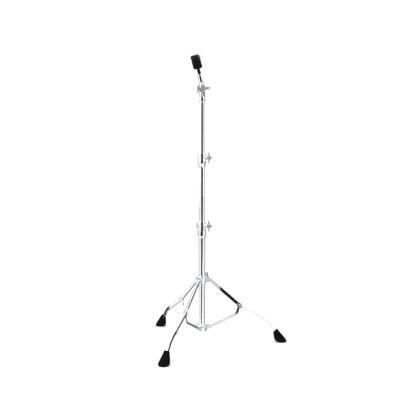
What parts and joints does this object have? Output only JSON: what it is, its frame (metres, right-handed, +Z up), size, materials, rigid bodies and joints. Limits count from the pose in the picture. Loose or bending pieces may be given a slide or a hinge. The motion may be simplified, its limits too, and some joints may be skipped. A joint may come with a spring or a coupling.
{
  "type": "straight cymbal stand",
  "caption": "Straight cymbal stand: folding braced tripod, telescoping chrome mast with wing-nut clamps, toothed tilter, felts and push-button top nut.",
  "frame": {"origin": "on the floor at the middle of the footprint; the mast stands 83.6 mm to the -X side of it", "axes": "+Z up along the mast; +X towards the right-hand leg"},
  "size_m": [0.5474, 0.6244, 1.1912],
  "materials": {
    "chrome_tube": "polished chrome plate on steel tube",
    "chrome_pressing": "polished chrome plate on pressed steel",
    "chrome_casting": "polished chrome plate on zinc casting",
    "bright_steel": "zinc-plated steel hardware",
    "black_rubber": "moulded black rubber, matt",
    "black_nylon": "moulded black nylon",
    "black_plastic": "moulded black plastic, satin",
    "red_plastic": "moulded red plastic",
    "felt": "pressed dark felt"
  },
  "bodies": {
    "base": {"base_tube": "chrome_tube", "base_tube_plug": "black_rubber", "lower_hub": "chrome_casting", "lower_hub_screw": "bright_steel", "base_clamp": "chrome_casting", "base_clamp_bushing": "black_nylon", "base_clamp_bolt": "bright_steel", "base_clamp_washer": "bright_steel"},
    "base_wing": {"base_clamp_wing_nut": "chrome_casting"},
    "collar": {"leg_collar": "chrome_casting", "leg_collar_liner": "black_nylon", "leg_pivot_pin_right": "bright_steel", "leg_pivot_pin_rear_left": "bright_steel", "leg_pivot_pin_front_left": "bright_steel"},
    "collar_screw": {"leg_collar_wing_bolt": "chrome_casting"},
    "leg_right": {"leg_right": "chrome_pressing", "foot_right": "black_rubber", "leg_saddle_right": "chrome_pressing", "brace_pivot_pin_right": "bright_steel"},
    "brace_right": {"brace_right": "chrome_pressing", "brace_hub_pin_right": "bright_steel"},
    "leg_rear_left": {"leg_rear_left": "chrome_pressing", "foot_rear_left": "black_rubber", "leg_saddle_rear_left": "chrome_pressing", "brace_pivot_pin_rear_left": "bright_steel"},
    "brace_rear_left": {"brace_rear_left": "chrome_pressing", "brace_hub_pin_rear_left": "bright_steel"},
    "leg_front_left": {"leg_front_left": "chrome_pressing", "foot_front_left": "black_rubber", "leg_saddle_front_left": "chrome_pressing", "brace_pivot_pin_front_left": "bright_steel"},
    "brace_front_left": {"brace_front_left": "chrome_pressing", "brace_hub_pin_front_left": "bright_steel"},
    "middle_guide": {"middle_tube_guide": "black_nylon"},
    "middle_section": {"middle_tube": "chrome_tube", "middle_clamp": "chrome_casting", "middle_clamp_bushing": "black_nylon", "middle_clamp_bolt": "bright_steel", "middle_clamp_washer": "bright_steel"},
    "middle_wing": {"middle_clamp_wing_nut": "chrome_casting"},
    "top_guide": {"top_tube_guide": "black_nylon"},
    "top_section": {"top_tube": "chrome_tube", "tilter_socket": "chrome_casting", "socket_screw": "bright_steel", "tilter_bolt": "bright_steel"},
    "tilter_wing": {"tilter_wing_nut": "chrome_casting"},
    "tilter": {"tilter_head": "chrome_casting", "tilter_washer": "bright_steel", "cymbal_rod": "bright_steel", "rod_cone": "chrome_tube", "cymbal_sleeve": "black_nylon", "seat_washer": "black_plastic"},
    "lower_felt": {"lower_felt": "felt"},
    "upper_felt": {"upper_felt": "felt"},
    "quick_release": {"quick_release_body": "black_plastic", "button_spring": "bright_steel"},
    "button": {"quick_release_button": "red_plastic"}
  },
  "joints": [
    {"name": "collar_slide", "type": "slide", "parent": "base", "child": "collar", "axis": [0, 0, 1], "range_m": [0, 0.104]},
    {"name": "leg_right_fold", "type": "hinge", "parent": "collar", "child": "leg_right", "pos_m": [-0.04858, 0, 0.269], "axis": [0, 1, 0], "range_deg": [0, 33.49]},
    {"name": "brace_right_fold", "type": "hinge", "parent": "leg_right", "child": "brace_right", "pos_m": [0.07292, 0, 0.1615], "axis": [0, -1, 0], "range_deg": [0, 70.76]},
    {"name": "leg_rear_left_fold", "type": "hinge", "parent": "collar", "child": "leg_rear_left", "pos_m": [-0.10108, 0.03031, 0.269], "axis": [-0.866, -0.5, 0], "range_deg": [0, 33.49]},
    {"name": "brace_rear_left_fold", "type": "hinge", "parent": "leg_rear_left", "child": "brace_rear_left", "pos_m": [-0.16183, 0.13553, 0.1615], "axis": [0.866, 0.5, 0], "range_deg": [0, 70.76]},
    {"name": "leg_front_left_fold", "type": "hinge", "parent": "collar", "child": "leg_front_left", "pos_m": [-0.10108, -0.03031, 0.269], "axis": [0.866, -0.5, 0], "range_deg": [0, 33.49]},
    {"name": "brace_front_left_fold", "type": "hinge", "parent": "leg_front_left", "child": "brace_front_left", "pos_m": [-0.16183, -0.13553, 0.1615], "axis": [-0.866, 0.5, 0], "range_deg": [0, 70.76]},
    {"name": "collar_wing_turn", "type": "hinge", "parent": "collar", "child": "collar_screw", "pos_m": [-0.06358, 0.03464, 0.273], "axis": [0.5, 0.866, 0], "range_deg": [0, 360]},
    {"name": "base_wing_turn", "type": "hinge", "parent": "base", "child": "base_wing", "pos_m": [-0.05209, -0.02231, 0.4972], "axis": [0.9974, -0.0715, 0], "range_deg": [0, 360]},
    {"name": "middle_height", "type": "slide", "parent": "base", "child": "middle_guide", "axis": [0, 0, 1], "range_m": [-0.217, 0.11]},
    {"name": "middle_turn", "type": "hinge", "parent": "middle_guide", "child": "middle_section", "pos_m": [-0.08358, 0, 0.5], "axis": [0, 0, 1], "continuous": true},
    {"name": "middle_wing_turn", "type": "hinge", "parent": "middle_section", "child": "middle_wing", "pos_m": [-0.05209, -0.02231, 0.7766], "axis": [0.9974, -0.0715, 0], "range_deg": [0, 360]},
    {"name": "top_height", "type": "slide", "parent": "middle_section", "child": "top_guide", "axis": [0, 0, 1], "range_m": [-0.206, 0.095]},
    {"name": "top_turn", "type": "hinge", "parent": "top_guide", "child": "top_section", "pos_m": [-0.08358, 0, 0.8], "axis": [0, 0, 1], "continuous": true},
    {"name": "tilt", "type": "hinge", "parent": "top_section", "child": "tilter", "pos_m": [-0.08358, 0, 1.0566], "axis": [0.4833, -0.8755, 0], "range_deg": [-107.5, 72.5]},
    {"name": "tilter_wing_turn", "type": "hinge", "parent": "top_section", "child": "tilter_wing", "pos_m": [-0.06908, -0.02626, 1.0566], "axis": [0.4833, -0.8755, 0], "range_deg": [0, 360]},
    {"name": "lower_felt_lift", "type": "slide", "parent": "tilter", "child": "lower_felt", "axis": [-0.2633, -0.1453, 0.9537], "range_m": [0, 0.075]},
    {"name": "upper_felt_lift", "type": "slide", "parent": "lower_felt", "child": "upper_felt", "axis": [-0.2633, -0.1453, 0.9537], "range_m": [0, 0.075]},
    {"name": "quick_release_lift", "type": "slide", "parent": "upper_felt", "child": "quick_release", "axis": [-0.2633, -0.1453, 0.9537], "range_m": [0, 0.075]},
    {"name": "button_press", "type": "slide", "parent": "quick_release", "child": "button", "axis": [-0.836, 0.5277, -0.1504], "range_m": [0, 0.0015], "stiffness_N_per_m": 400, "springref_m": -0.004, "deforming": ["button_spring"]}
  ],
  "couplings": [
    {"joint": "leg_right_fold", "follows": "collar_slide", "rad_per_m": 5.6032},
    {"joint": "brace_right_fold", "follows": "collar_slide", "rad_per_m": 11.858},
    {"joint": "leg_rear_left_fold", "follows": "collar_slide", "rad_per_m": 5.6032},
    {"joint": "brace_rear_left_fold", "follows": "collar_slide", "rad_per_m": 11.858},
    {"joint": "leg_front_left_fold", "follows": "collar_slide", "rad_per_m": 5.6032},
    {"joint": "brace_front_left_fold", "follows": "collar_slide", "rad_per_m": 11.858}
  ]
}
